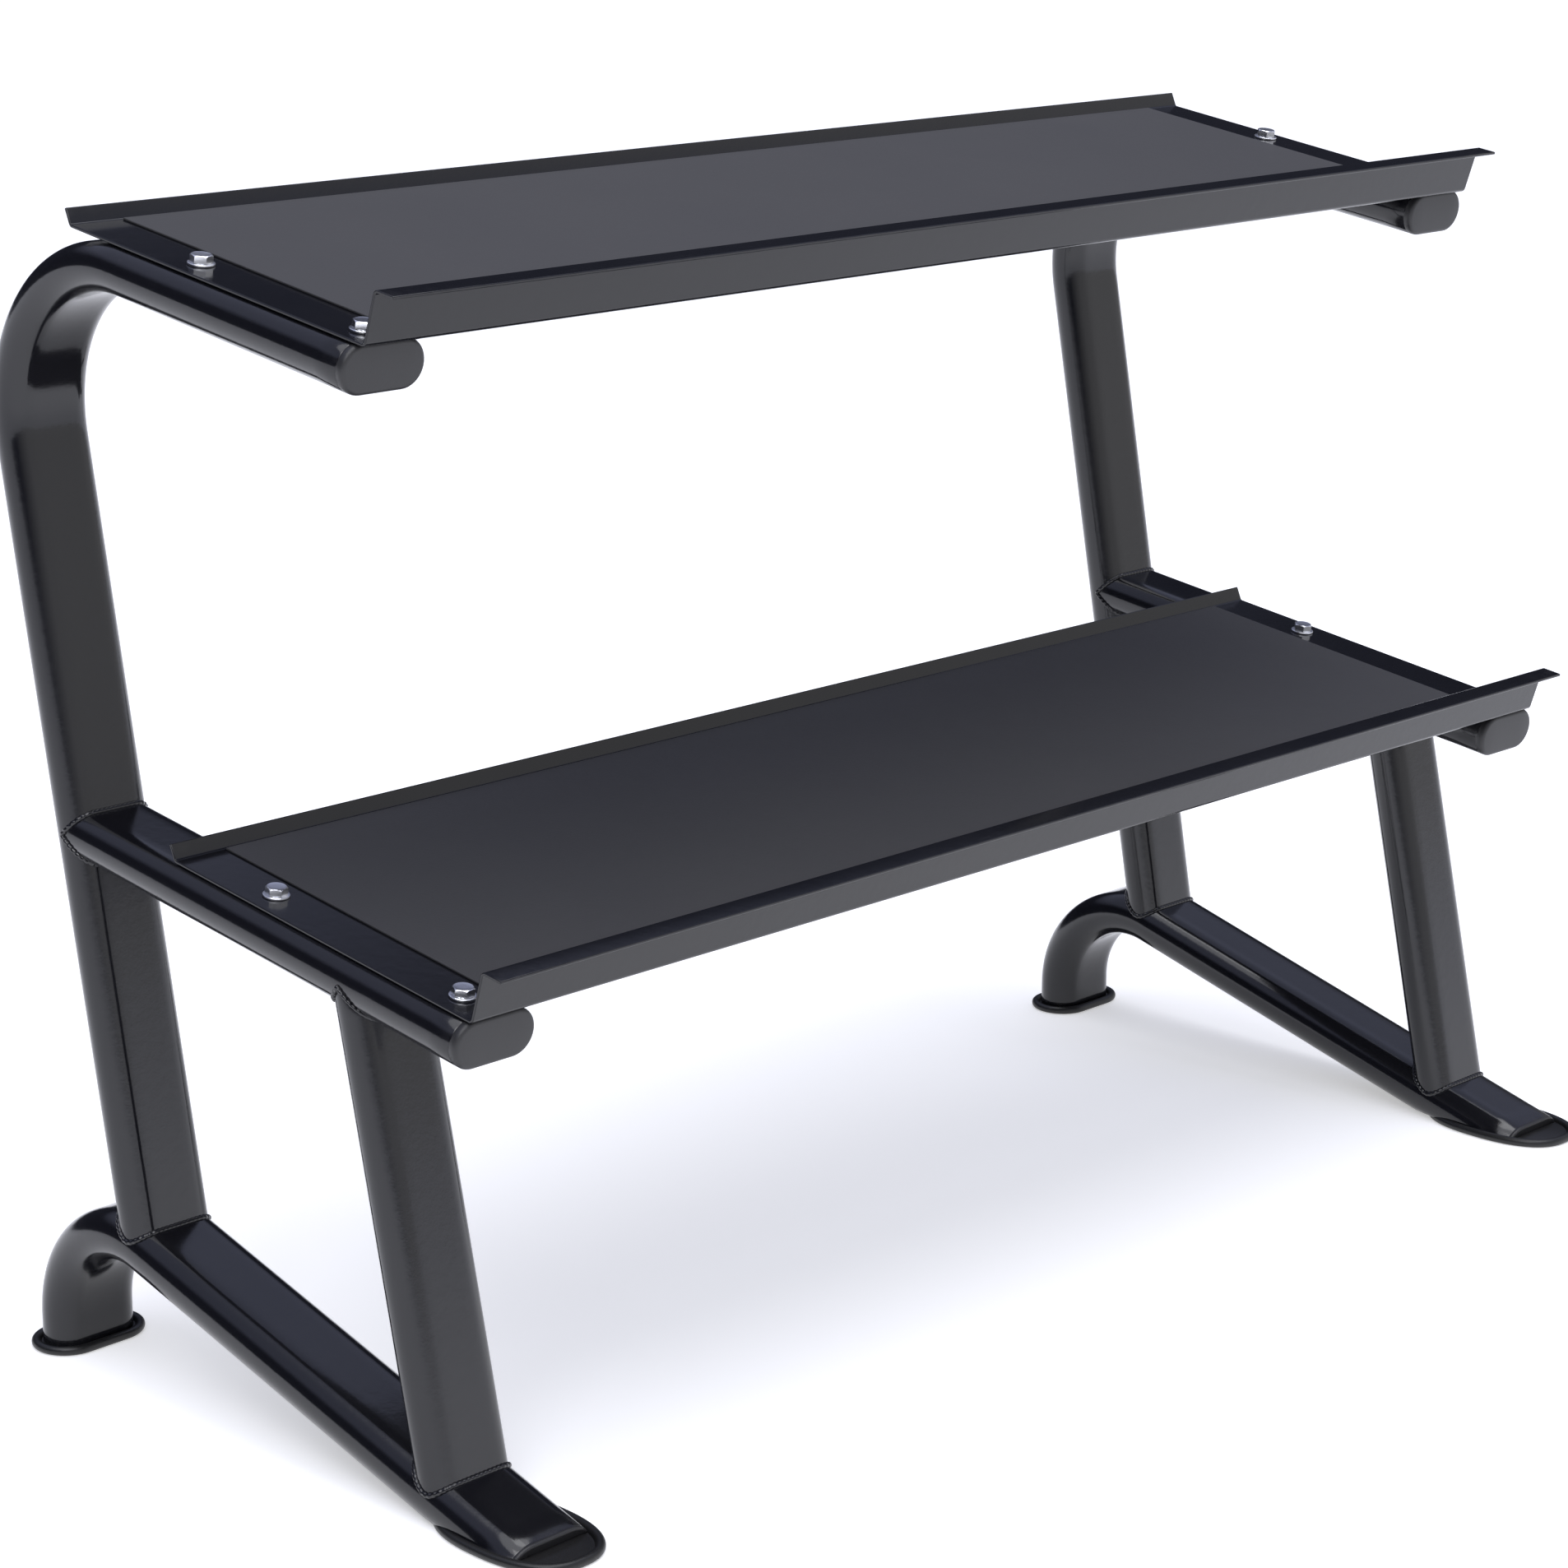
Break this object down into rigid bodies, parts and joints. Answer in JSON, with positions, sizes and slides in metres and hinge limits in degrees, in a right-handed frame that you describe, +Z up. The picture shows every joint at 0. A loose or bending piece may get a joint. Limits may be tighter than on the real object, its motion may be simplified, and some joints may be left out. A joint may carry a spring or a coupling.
{
  "type": "dumbbell rack",
  "caption": "Two-tier dumbbell rack: bent flat-oval tube side frames with feet carry sloping folded-sheet trays with dark liners, held by hex bolts.",
  "frame": {"origin": "on the floor, midway along the rack and midway between the backs of the rear pads and the fronts of the front pads", "axes": "+X along the rack to the right as seen from the front, +Y to the back, +Z up; the rack stands on its four pads at z = 0"},
  "size_m": [1.4, 0.664, 0.977],
  "materials": {
    "frame_black": "glossy black powder coat",
    "tray_black": "glossy black powder coat",
    "weld_black": "painted weld bead",
    "cap_plastic": "satin moulded plastic",
    "pad_rubber": "moulded rubber",
    "liner_rubber": "matte rubber sheet",
    "bright_zinc": "bright zinc plate",
    "plain_steel": "plain steel"
  },
  "bodies": {
    "root": {"left_upright_tube": "frame_black", "right_upright_tube": "frame_black", "left_lower_arm_tube": "frame_black", "right_lower_arm_tube": "frame_black", "left_front_leg_tube": "frame_black", "right_front_leg_tube": "frame_black", "left_foot_tube": "frame_black", "right_foot_tube": "frame_black", "left_upper_arm_cap": "cap_plastic", "right_upper_arm_cap": "cap_plastic", "left_lower_arm_cap": "cap_plastic", "right_lower_arm_cap": "cap_plastic", "left_foot_nose_cap": "cap_plastic", "right_foot_nose_cap": "cap_plastic", "left_rear_foot_pad": "pad_rubber", "right_rear_foot_pad": "pad_rubber", "left_front_foot_pad": "pad_rubber", "right_front_foot_pad": "pad_rubber", "left_weld_fillets": "weld_black", "right_weld_fillets": "weld_black", "upper_tray": "tray_black", "lower_tray": "tray_black", "upper_tray_liner": "liner_rubber", "lower_tray_liner": "liner_rubber", "upper_tray_bolts": "bright_zinc", "lower_tray_bolts": "bright_zinc", "upper_tray_washers": "bright_zinc", "lower_tray_washers": "bright_zinc", "upper_weld_nuts": "plain_steel", "lower_weld_nuts": "plain_steel"}
  },
  "joints": []
}
